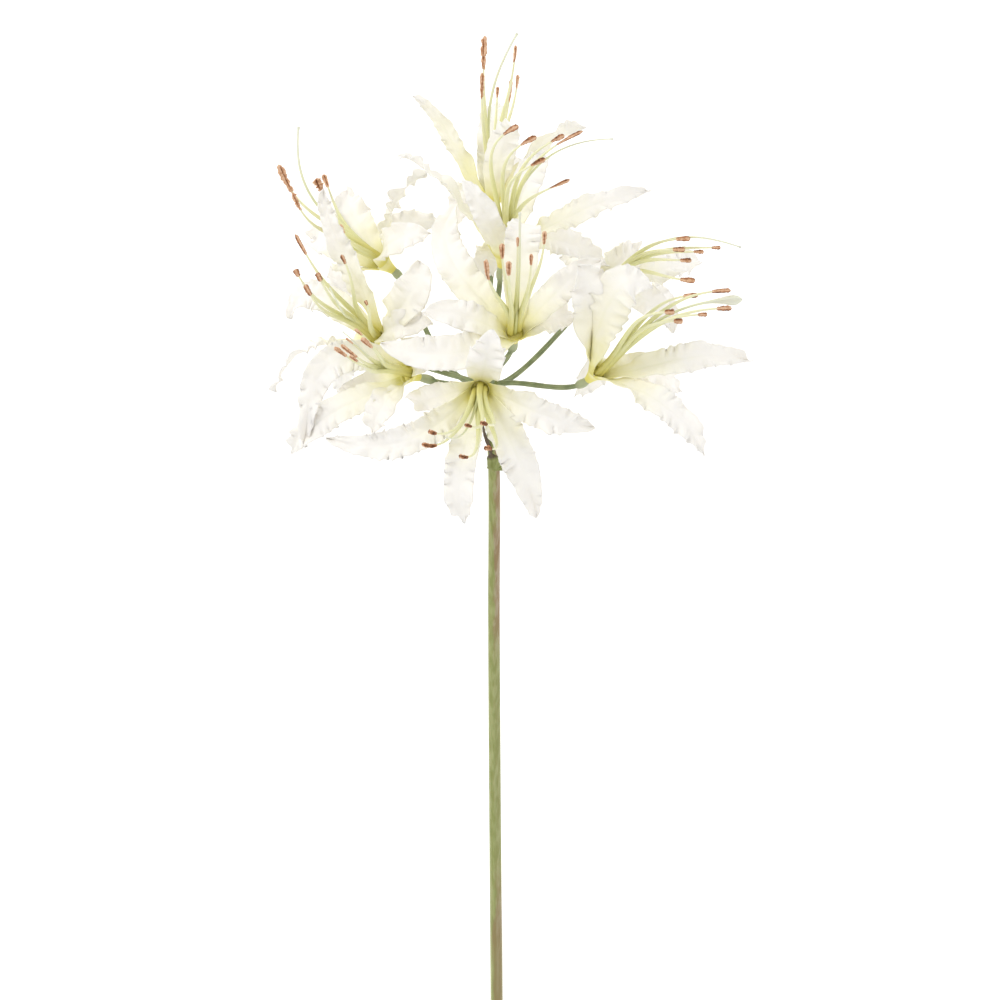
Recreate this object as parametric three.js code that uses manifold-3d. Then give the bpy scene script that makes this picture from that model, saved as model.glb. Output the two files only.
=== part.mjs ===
// Nerine: one cut stem with a head of nine white florets, lying on a flat surface.
// Millimetres. +Z is up from the surface, and +Y runs along the stem towards the florets.
// All places are measured from the crown, a point beside the knob that the flower stalks leave.
import * as THREE from 'three';
import { mergeVertices } from 'three/addons/utils/BufferGeometryUtils.js';
import Module from 'manifold-3d';

const wasm = await Module();
wasm.setup();

// Driving dimensions
const crownHeight = 62;
const seatGap = 0.3;
const sliver = 0.01;

const stem = {
  radius: 2.65,
  sides: 8,
  segments: 12,
  route: [[2, -333], [1.8, -290], [1.4, -240], [0.8, -165], [0.4, -95], [0.4, -29], [-1.5, 3]],
  rise: [0, 0, 3, 17.5, 34, 50, 59],
  ringAt: 0.83,
  ringClear: 0.012,
  ringSteps: [-0.005, -0.003, 0, 0.006, 0.009],
  ringRadii: [0, 0.6, 0.6, 0.6, 0],
};

// What is left of the flower sheath: a green sleeve over the ring that withers to a thin tip,
// and a nub at the ring's other side
const sheath = {
  route: [[0.4, -30.5, -9.6], [0.1, -26.5, -7.6], [-1.3, -22.5, -5], [-3.6, -15.5, -1.5], [-5, -9, 2]],
  stations: [[0, 2.8], [0.12, 3], [0.24, 2.7], [0.34, 1.4], [0.65, 1.1], [1, 0.5]],
  sides: 8,
};

const nub = { start: [0.4, -30.4, -9.6], end: [4.2, -31, -8.6], stations: [[0, 1], [1, 0.7]], sides: 6 };

const knob = { centre: [-2, 6, 0], radius: 5.2, sides: 10, rings: 6 };

const stalk = {
  radius: 1.25,
  ovaryRadius: 2.0,
  ovaryEndRadius: 1.8,
  ovaryLength: 7,
  sides: 6,
  segments: 7,
  leave: 12,
  arrive: 14,
};

const tube = { length: 9, rootRadius: 1.9, throatRadius: 5.2, sides: 8 };

const cup = { floorRadius: 3.5, mouthRadius: 4.3, depth: 3.5 };

const plug = { radius: 2.8, height: 1.8, sides: 6 };

const petal = {
  thickness: 0.7,
  rows: 9,
  finerSteps: 4,
  // Its outline: a narrow claw that widens into a strap, and tapers to the tip
  width: 13,
  rootWidth: 6,
  tipWidth: 0.8,
  widensFrom: 0.02,
  widestFrom: 0.42,
  tapersFrom: 0.68,
  taperPower: 0.7,
  // Its way out of the throat, as shares of its length
  rootDepth: 1.6,
  rootRadius: 4.7,
  evenness: 0.6,
  rise: 0.15,
  spread: 0.12,
  bendAt: 0.62,
  bendRise: 0.24,
  // Its waved edges and channelled middle
  waves: 3.4,
  ruffle: 1.5,
  edgeLag: 0.9,
  phaseStep: 1.7,
  channel: 0.9,
  wavesFrom: 0.08,
  wavesFull: 0.35,
  // How it turns to lie level
  level: 0.8,
  levelAt: 0.6,
  levelFrom: 0.08,
};

// The stations are shares of the thread's length below the anther, and of the anther's
const filament = {
  rootRadius: 1.05,
  tipRadius: 0.6,
  ringRadius: 2.1,
  rootHeight: 1,
  sides: 4,
  rise: 0.52,
  arrive: 0.42,
  stations: [0, 0.08, 0.36, 0.68, 1],
};

const anther = { length: 7.6, radius: 1.3, stations: [[0.12, 1], [0.85, 1], [1, 0.5]] };

const style = { rootRadius: 0.7, tipRadius: 0.4, stations: [0, 0.08, 0.4, 0.75, 1] };

// The florets. Each has its throat, the way it faces, the side of the knob that its stalk
// leaves from and perhaps how far the stalk keeps to it, the way its stamens sweep at their
// ends, six petals, the middles of six anthers and the end of the style, which may sweep its
// own way. A petal has its tip and, where they differ from the rest, its width, the point it
// bends towards and how far it lies level. A tip below the surface lies on it.
const florets = {
  frontLow: {
    throat: [-6, 4, 38],
    facing: [-0.1, -0.35, 0.93],
    seat: [-0.15, -0.05, 0.99],
    sweep: [-0.6, -0.1, 0.8],
    petals: [
      { tip: [45, -12, 28] },
      { tip: [18, -53, 26], via: [13, -29, 46], width: 14 },
      { tip: [-13, -55, 22], via: [-20, -36, 42] },
      { tip: [-74, -17, 34], via: [-38, -30, 50] },
      { tip: [-38, 1, 2] },
      { tip: [0, 31, 70], width: 16 },
    ],
    anthers: [[-27, -15, 80], [-29, -21, 68], [-11, -12, 88], [-4, -11, 84], [-13, -26, 74], [-2, -22, 78]],
    style: [-21, -17, 70],
  },
  frontHigh: {
    throat: [10, 31, 36],
    facing: [0.05, 0.5, 0.86],
    seat: [0.2, 0.5, 0.84],
    sweep: [0, 0.8, 0.6],
    petals: [
      { tip: [16, 70, 26], via: [14, 100, 50], width: 15 },
      { tip: [-15, 90, 2], via: [-36, 66, 20], width: 16 },
      { tip: [-31, 39, 44] },
      { tip: [-50, 25, 40], via: [-24, 14, 50], width: 16 },
      { tip: [48, 62, 22] },
      { tip: [37, 38, 10] },
    ],
    anthers: [[-3, 59, 80], [4, 66, 78], [7, 58, 84], [17, 62, 82], [23, 72, 76], [11, 70, 78]],
    style: [12, 83, 70],
  },
  topBack: {
    throat: [-1, 92, -18],
    facing: [-0.05, 0.93, -0.3],
    seat: [-0.05, 0.93, -0.36],
    sweep: [0.05, 1, 0.1],
    petals: [
      { tip: [-36, 137, -12], width: 9 },
      { tip: [1, 135, -50] },
      { tip: [42, 124, -34], level: 0 },
      { tip: [19, 106, -76] },
      { tip: [-19, 79, -76] },
      { tip: [9, 124, 6] },
    ],
    anthers: [[-4, 159, -10], [-5, 144, -2], [10, 157, -18], [11, 144, -8], [8, 142, -26], [2, 140, -32]],
    style: [11, 166, -12],
    styleSweep: [0.75, 0.65, 0],
  },
  topFront: {
    throat: [4.5, 68, 13],
    facing: [0.08, 0.9, 0.44],
    seat: [0.08, 0.93, 0.36],
    sweep: [0.9, 0.4, 0.1],
    petals: [
      { tip: [70, 94, 5], via: [46, 92, 24], width: 12 },
      { tip: [-43, 110, 8], level: 0 },
      { tip: [23, 112, -20] },
      { tip: [-14, 98, 44], via: [-1, 84, 46], width: 11 },
      { tip: [51, 61, -18] },
      { tip: [-7, 50, -8], width: 11 },
    ],
    anthers: [[8, 121, 44], [16, 116, 50], [20, 106, 56], [29, 117, 42], [37, 119, 34], [31, 97, 42]],
    style: [54, 117, 30],
    styleSweep: [1, 0, 0],
  },
  rightBack: {
    throat: [49, 52, -18],
    facing: [0.65, 0.7, -0.15],
    seat: [0.93, 0.25, -0.25],
    sweep: [1, 0, 0.1],
    petals: [
      { tip: [66, 68, -45] },
      { tip: [94, 63, -48] },
      { tip: [82, 31, -76] },
      { tip: [44, 31, -76] },
      { tip: [30, 65, -54] },
      { tip: [80, 34, -30] },
    ],
    anthers: [[86, 73, -6], [84, 68, 2], [93, 67, -2], [87, 63, 4], [101, 69, -10], [88, 54, 2]],
    style: [112, 69, -6],
    styleSweep: [1, -0.35, -0.1],
  },
  rightFront: {
    throat: [48, 14, 22],
    facing: [0.6, 0.57, 0.56],
    seat: [0.88, 0.25, 0.4],
    sweep: [1, 0, 0],
    petals: [
      { tip: [112, 20, 10] },
      { tip: [95, -25, 20] },
      { tip: [84, 4, -14] },
      { tip: [37, 2, -28] },
      { tip: [38, 60, 46], width: 16 },
      { tip: [71, 50, 44], via: [52, 64, 56], width: 20 },
    ],
    anthers: [[89, 47, 22], [103, 49, 30], [79, 39, 60], [83, 35, 56], [94, 38, 46], [104, 41, 34]],
    style: [112, 45, 28],
  },
  leftBack: {
    throat: [-52, 64, -20],
    facing: [-0.78, 0.58, 0.15],
    seat: [-0.9, 0.15, -0.35],
    leave: 24,
    sweep: [-0.35, 0.93, 0.05],
    petals: [
      { tip: [-66, 95, -46], width: 15 },
      { tip: [-30, 103, -25], level: 0 },
      { tip: [-24, 82, -50] },
      { tip: [-28, 75, 8] },
      { tip: [-67, 45, -76] },
      { tip: [-82, 74, -76] },
    ],
    anthers: [[-94, 101, -5], [-89, 90, 8], [-79, 98, -30], [-76, 100, -38], [-75, 76, 0], [-68, 77, 2]],
    style: [-88, 124, -20],
    styleSweep: [0.1, 1, 0.1],
  },
  leftMiddle: {
    throat: [-54, 29, 2],
    facing: [-0.65, 0.6, 0.5],
    seat: [-0.93, 0.35, 0.1],
    sweep: [-0.45, 0.88, 0.1],
    petals: [
      { tip: [-76, 95, 18], width: 10 },
      { tip: [-92, 37, -20], via: [-87, 62, -12], level: 0 },
      { tip: [-99, 4, 0], via: [-88, 34, 20], level: 0 },
      { tip: [-33, 62, 16], via: [-30, 48, 26], width: 17 },
      { tip: [-27, 34, 20] },
      { tip: [-67, 0, -50] },
    ],
    anthers: [[-87, 71, 28], [-78, 55, 40], [-88, 57, 34], [-83, 49, 42], [-67, 63, 40], [-56, 42, 52]],
    style: [-73, 50, 50],
  },
  leftFront: {
    throat: [-40, 12, 24],
    facing: [-0.75, 0.2, 0.62],
    seat: [-0.75, 0, 0.66],
    sweep: [-0.75, 0.6, 0.3],
    petals: [
      { tip: [-84, -21, 4], via: [-86, 34, 30], width: 14 },
      { tip: [-70, -8, -8] },
      { tip: [-54, -15, 24] },
      { tip: [-22, 24, -10] },
      { tip: [-25, 22, 30] },
      { tip: [-91, -24, -6] },
    ],
    anthers: [[-65, 22, 68], [-68, 21, 64], [-64, 26, 66], [-56, 25, 70], [-62, 18, 72], [-60, 30, 62]],
    style: [-67, 30, 72],
  },
};

// Angles round a floret's axis are counted from a side that no floret faces
const zeroSide = [0.3, 0.2, 1];

const vector = (values) => new THREE.Vector3(...values);
const unit = (values) => vector(values).normalize();
const along = (start, direction, distance) => start.clone().addScaledVector(direction, distance);
const floorHeight = -crownHeight;

// Closed geometry to solid, and solid back to geometry
function solidOf(geometry) {
  const bare = geometry.clone();
  bare.deleteAttribute('normal');
  bare.deleteAttribute('uv');
  const merged = mergeVertices(bare, 1e-4);
  return new wasm.Manifold(new wasm.Mesh({
    numProp: 3,
    vertProperties: new Float32Array(merged.attributes.position.array),
    triVerts: new Uint32Array(merged.index.array),
  }));
}

function geometryOf(solid) {
  const mesh = solid.getMesh();
  const geometry = new THREE.BufferGeometry();
  geometry.setAttribute('position', new THREE.BufferAttribute(mesh.vertProperties, 3));
  geometry.setIndex(new THREE.BufferAttribute(mesh.triVerts, 1));
  geometry.computeVertexNormals();
  return geometry;
}

// Solids joined into one body, without the slivers that are left where they cross
function joined(solids) {
  const bodies = solids.reduce((whole, solid) => whole.add(solid)).simplify(sliver).decompose();
  return bodies.reduce((largest, body) => (body.volume() > largest.volume() ? body : largest));
}

// A round bar bent along a curve: its stations are fractions of the curve, each with a radius
function bar(curve, stations, sides, flatDown = false) {
  const geometry = new THREE.CylinderGeometry(1, 1, 1, sides, stations.length - 1);
  const start = curve.getTangent(0);
  const steep = Math.abs(start.z) > Math.abs(start.y);
  const sky = steep ? vector([0, 1, 0]) : vector([0, 0, 1]);
  const frames = curveFrames(curve, stations.map(([fraction]) => fraction), sky);
  const position = geometry.attributes.position;
  const turn = flatDown ? Math.PI / sides : 0;
  for (let i = 0; i < position.count; i += 1) {
    const step = Math.round((position.getY(i) + 0.5) * (stations.length - 1));
    const { point, tangent, held } = frames[step];
    const across = new THREE.Vector3().crossVectors(tangent, held);
    const reach = Math.hypot(position.getX(i), position.getZ(i)) * stations[step][1];
    const angle = Math.atan2(position.getX(i), position.getZ(i)) + turn;
    const place = along(along(point, across, reach * Math.sin(angle)), held, reach * Math.cos(angle));
    place.z = Math.max(place.z, floorHeight);
    position.setXYZ(i, place.x, place.y, place.z);
  }
  return geometry;
}

// Frames along a curve, each holding a direction square to it that never spins
function curveFrames(curve, fractions, first) {
  let held = first;
  return fractions.map((fraction) => {
    const tangent = curve.getTangent(fraction);
    held = along(held, tangent, -held.dot(tangent)).normalize();
    return { point: curve.getPoint(fraction), tangent, held };
  });
}

// The stem lies along the surface at its cut end and rises to the knob
function stemSolid() {
  const rest = floorHeight + stem.radius * Math.cos(Math.PI / stem.sides);
  const points = stem.route.map(([x, y], i) => vector([x, y, rest + stem.rise[i]]));
  const route = new THREE.CatmullRomCurve3(points);
  const ring = stem.ringSteps.map((step, i) => [stem.ringAt + step, stem.radius + stem.ringRadii[i]]);
  const plain = Array.from({ length: stem.segments + 1 }, (_, i) => [i / stem.segments, stem.radius]);
  const clear = plain.filter(([fraction]) => Math.abs(fraction - stem.ringAt) > stem.ringClear);
  const stations = [...clear, ...ring].sort((a, b) => a[0] - b[0]);
  const dome = new THREE.SphereGeometry(knob.radius, knob.sides, knob.rings).translate(...knob.centre);
  const sleeve = bar(new THREE.CatmullRomCurve3(sheath.route.map(vector)), sheath.stations, sheath.sides);
  const side = bar(new THREE.LineCurve3(vector(nub.start), vector(nub.end)), nub.stations, nub.sides);
  return joined([bar(route, stations, stem.sides, true), dome, sleeve, side].map(solidOf));
}

// A flower stalk leaves the knob square to its surface and swells into the ovary
function stalkSolid(floret) {
  const seat = unit(floret.seat);
  const facing = unit(floret.facing);
  const end = along(vector(floret.throat), facing, -tube.length - seatGap);
  const start = along(vector(knob.centre), seat, knob.radius + seatGap);
  const curve = new THREE.CubicBezierCurve3(
    start,
    along(start, seat, floret.leave ?? stalk.leave),
    along(end, facing, -stalk.arrive),
    end,
  );
  const ovaryStart = 1 - stalk.ovaryLength / curve.getLength();
  const slim = stalk.segments - 2;
  const stations = Array.from({ length: slim + 1 }, (_, i) => [ovaryStart * i / slim, stalk.radius]);
  stations.push([(1 + ovaryStart) / 2, stalk.ovaryRadius], [1, stalk.ovaryEndRadius]);
  return solidOf(bar(curve, stations, stalk.sides));
}

// Half the width of a petal at a fraction of its length
function petalHalfWidth(shape, fraction) {
  const width = shape.width ?? petal.width;
  const grown = THREE.MathUtils.smoothstep(fraction, petal.widensFrom, petal.widestFrom);
  const strap = THREE.MathUtils.lerp(petal.rootWidth, width, grown);
  const beyond = Math.max(fraction - petal.tapersFrom, 0) / (1 - petal.tapersFrom);
  return Math.max(strap * Math.pow(1 - beyond * beyond, petal.taperPower), petal.tipWidth) / 2;
}

// Where each petal leaves the throat: between its own side of it and its place in an even round
function rootDirections(floret) {
  const throat = vector(floret.throat);
  const facing = unit(floret.facing);
  const first = new THREE.Vector3().crossVectors(facing, vector(zeroSide)).normalize();
  const second = new THREE.Vector3().crossVectors(facing, first);
  const angles = floret.petals.map((shape) => {
    const aside = vector(shape.via ?? shape.tip).sub(throat);
    return Math.atan2(aside.dot(second), aside.dot(first));
  });
  const order = angles.map((_, i) => i).sort((a, b) => angles[a] - angles[b]);
  const step = 2 * Math.PI / order.length;
  const sine = order.reduce((sum, i, place) => sum + Math.sin(angles[i] - place * step), 0);
  const cosine = order.reduce((sum, i, place) => sum + Math.cos(angles[i] - place * step), 0);
  const start = Math.atan2(sine, cosine);
  return angles.map((own, i) => {
    const astray = own - start - order.indexOf(i) * step;
    const angle = own - petal.evenness * Math.atan2(Math.sin(astray), Math.cos(astray));
    return first.clone().multiplyScalar(Math.cos(angle)).addScaledVector(second, Math.sin(angle));
  });
}

function petalCurve(floret, shape, outward) {
  const throat = vector(floret.throat);
  const facing = unit(floret.facing);
  const tip = vector(shape.tip);
  const reach = tip.clone().sub(throat);
  const length = reach.length();
  const bowed = along(along(throat, reach, petal.bendAt), facing, petal.bendRise * length);
  const bend = shape.via ? vector(shape.via) : bowed;
  const root = along(along(throat, facing, -petal.rootDepth), outward, petal.rootRadius);
  const spread = petal.rootRadius + petal.spread * length;
  const rise = along(along(throat, facing, petal.rise * length), outward, spread);
  return new THREE.CubicBezierCurve3(root, rise, bend, tip);
}

// The angle by which a petal turns about itself at a frame to lie level there
function levelTurn({ tangent, held }) {
  const level = new THREE.Vector3(-tangent.y, tangent.x, 0).normalize();
  if (level.dot(held) < 0) level.negate();
  return Math.atan2(new THREE.Vector3().crossVectors(held, level).dot(tangent), held.dot(level));
}

// The middle surface of a petal: rows along it, each with a left edge, a rib and a right edge
function petalSheet(floret, shape, outward, phase) {
  const curve = petalCurve(floret, shape, outward);
  const side = new THREE.Vector3().crossVectors(unit(floret.facing), outward);
  const steps = petal.rows * petal.finerSteps;
  const frames = curveFrames(curve, Array.from({ length: steps + 1 }, (_, i) => i / steps), side);
  const turn = (shape.level ?? petal.level) * levelTurn(frames[Math.round(petal.levelAt * steps)]);
  return Array.from({ length: petal.rows + 1 }, (_, row) => {
    const fraction = row / petal.rows;
    const { point, tangent, held } = frames[row * petal.finerSteps];
    const turned = THREE.MathUtils.smoothstep(fraction, petal.levelFrom, petal.levelAt);
    const across = held.clone().applyAxisAngle(tangent, turn * turned);
    const face = new THREE.Vector3().crossVectors(tangent, across);
    const half = petalHalfWidth(shape, fraction);
    const swell = THREE.MathUtils.smoothstep(fraction, petal.wavesFrom, petal.wavesFull);
    return [-1, 0, 1].map((edge) => {
      const wave = Math.sin(2 * Math.PI * petal.waves * fraction + phase + edge * petal.edgeLag);
      const lift = edge === 0 ? 0 : petal.channel * swell + petal.ruffle * swell * wave;
      const place = along(along(point, across, edge * half), face, lift);
      place.z = Math.max(place.z, floorHeight + petal.thickness / 2);
      return place;
    });
  });
}

// A thin solid over a sheet of rows, its two faces split into triangles alike
function bladeSolid(sheet, thickness) {
  const rows = sheet.length;
  const columns = sheet[0].length;
  const upper = [];
  const lower = [];
  sheet.forEach((row, i) => row.forEach((place, j) => {
    const ahead = sheet[Math.min(i + 1, rows - 1)][j].clone().sub(sheet[Math.max(i - 1, 0)][j]);
    const aside = row[Math.min(j + 1, columns - 1)].clone().sub(row[Math.max(j - 1, 0)]);
    const normal = ahead.cross(aside).normalize();
    for (const [list, way] of [[upper, 0.5], [lower, -0.5]]) {
      const corner = along(place, normal, way * thickness);
      corner.z = Math.max(corner.z, floorHeight);
      list.push(corner);
    }
  }));
  const faces = [];
  const count = rows * columns;
  for (let i = 0; i < rows - 1; i += 1) {
    for (let j = 0; j < columns - 1; j += 1) {
      const a = i * columns + j;
      const b = a + 1;
      const c = a + columns;
      const d = c + 1;
      faces.push(a, c, b, b, c, d, count + a, count + b, count + c, count + b, count + d, count + c);
    }
  }
  const rim = [];
  for (let j = 0; j < columns - 1; j += 1) rim.push(j);
  for (let i = 0; i < rows - 1; i += 1) rim.push(i * columns + columns - 1);
  for (let j = columns - 1; j > 0; j -= 1) rim.push((rows - 1) * columns + j);
  for (let i = rows - 1; i > 0; i -= 1) rim.push(i * columns);
  rim.forEach((a, i) => {
    const b = rim[(i + 1) % rim.length];
    faces.push(a, b, count + a, b, count + b, count + a);
  });
  const geometry = new THREE.BufferGeometry().setFromPoints([...upper, ...lower]);
  geometry.setIndex(faces);
  return solidOf(geometry);
}

// Six petals fused to a short tube, with a cup in its throat
function perianthSolid(floret) {
  const throat = vector(floret.throat);
  const facing = unit(floret.facing);
  const profile = [
    [0, -tube.length],
    [tube.rootRadius, -tube.length],
    [tube.throatRadius, 0],
    [cup.mouthRadius, 0],
    [cup.floorRadius, -cup.depth],
    [0, -cup.depth],
  ].map(([radius, height]) => new THREE.Vector2(radius, height));
  const body = new THREE.LatheGeometry(profile, tube.sides);
  body.applyQuaternion(new THREE.Quaternion().setFromUnitVectors(vector([0, 1, 0]), facing));
  body.translate(...throat);
  const roots = rootDirections(floret);
  const petals = floret.petals.map((shape, i) => (
    bladeSolid(petalSheet(floret, shape, roots[i], i * petal.phaseStep), petal.thickness)
  ));
  return joined([solidOf(body), ...petals]);
}

// A thread from the plug in the throat to its end, with the stations' radii along it
function threadSolid(floret, rootOffset, end, sweep, stations) {
  const throat = vector(floret.throat);
  const facing = unit(floret.facing);
  const length = end.distanceTo(throat);
  const root = along(throat, facing, filament.rootHeight - cup.depth).add(rootOffset);
  const curve = new THREE.CubicBezierCurve3(
    root,
    along(root, facing, filament.rise * length),
    along(end, sweep, -filament.arrive * length),
    end,
  );
  return solidOf(bar(curve, stations(curve.getLength()), filament.sides));
}

function filamentStations(length) {
  const head = 1 - anther.length / length;
  const { rootRadius, tipRadius } = filament;
  const neck = filament.stations.map((part) => (
    [head * part, THREE.MathUtils.lerp(rootRadius, tipRadius, part)]
  ));
  const sac = anther.stations.map(([part, share]) => [head + (1 - head) * part, anther.radius * share]);
  return [...neck, ...sac];
}

function styleStations() {
  const { rootRadius, tipRadius, stations } = style;
  return stations.map((part) => [part, THREE.MathUtils.lerp(rootRadius, tipRadius, part)]);
}

// Six stamens and the style, held together by the floor of the throat
function stamensSolid(floret) {
  const throat = vector(floret.throat);
  const facing = unit(floret.facing);
  const sweep = unit(floret.sweep);
  const bottom = along(throat, facing, -cup.depth + seatGap);
  const floor = solidOf(bar(
    new THREE.LineCurve3(bottom, along(bottom, facing, plug.height)),
    [[0, plug.radius], [1, plug.radius]],
    plug.sides,
  ));
  const threads = floret.anthers.map((place) => {
    const middle = vector(place);
    const end = along(middle, sweep, anther.length / 2);
    const aside = middle.clone().sub(throat);
    const outward = along(aside, facing, -aside.dot(facing)).normalize();
    return threadSolid(floret, outward.multiplyScalar(filament.ringRadius), end, sweep, filamentStations);
  });
  const styleSweep = unit(floret.styleSweep ?? floret.sweep);
  const centre = threadSolid(floret, vector([0, 0, 0]), vector(floret.style), styleSweep, styleStations);
  return joined([floor, ...threads, centre]);
}

const finishes = {
  stem: { color: 0x7f8f52, roughness: 0.6 },
  stalk: { color: 0x71805c, roughness: 0.6 },
  petals: { color: 0xf7f6ee, roughness: 0.75 },
  stamens: { color: 0xd9dca0, roughness: 0.6 },
};

function mesh(name, finish, solid) {
  const material = new THREE.MeshStandardMaterial({ ...finishes[finish], metalness: 0 });
  const piece = new THREE.Mesh(geometryOf(solid), material);
  piece.name = name;
  return piece;
}

const nerine = new THREE.Group();
nerine.add(mesh('stem', 'stem', stemSolid()));
for (const [name, floret] of Object.entries(florets)) {
  nerine.add(mesh(`stalk_${name}`, 'stalk', stalkSolid(floret)));
  nerine.add(mesh(`petals_${name}`, 'petals', perianthSolid(floret)));
  nerine.add(mesh(`stamens_${name}`, 'stamens', stamensSolid(floret)));
}

// The origin goes to the middle of the footprint, on the surface
const box = new THREE.Box3().setFromObject(nerine);
const centre = box.getCenter(new THREE.Vector3());
nerine.position.set(-centre.x, -centre.y, -box.min.z);

export default nerine;
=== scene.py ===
import math

import bmesh
import bpy
from mathutils import Matrix, Vector, noise


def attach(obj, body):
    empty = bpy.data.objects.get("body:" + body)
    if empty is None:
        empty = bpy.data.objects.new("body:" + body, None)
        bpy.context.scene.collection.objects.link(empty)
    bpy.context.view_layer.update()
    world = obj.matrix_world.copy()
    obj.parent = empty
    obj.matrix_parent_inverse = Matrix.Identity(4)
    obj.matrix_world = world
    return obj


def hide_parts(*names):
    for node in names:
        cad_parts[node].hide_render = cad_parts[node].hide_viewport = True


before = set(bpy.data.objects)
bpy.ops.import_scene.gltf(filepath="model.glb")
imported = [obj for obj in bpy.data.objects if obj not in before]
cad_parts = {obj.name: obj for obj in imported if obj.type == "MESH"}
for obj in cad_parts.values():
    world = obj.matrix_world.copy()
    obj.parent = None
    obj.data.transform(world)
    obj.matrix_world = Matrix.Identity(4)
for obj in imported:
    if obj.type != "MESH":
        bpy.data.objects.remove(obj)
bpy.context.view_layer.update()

# Places are in millimetres from the crown, a point beside the knob that the stalks leave
crown = Vector((-6.523, 83.357, 62.0))
floorHeight = -62.0
millimetre = 0.001
turn = 2 * math.pi

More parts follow.
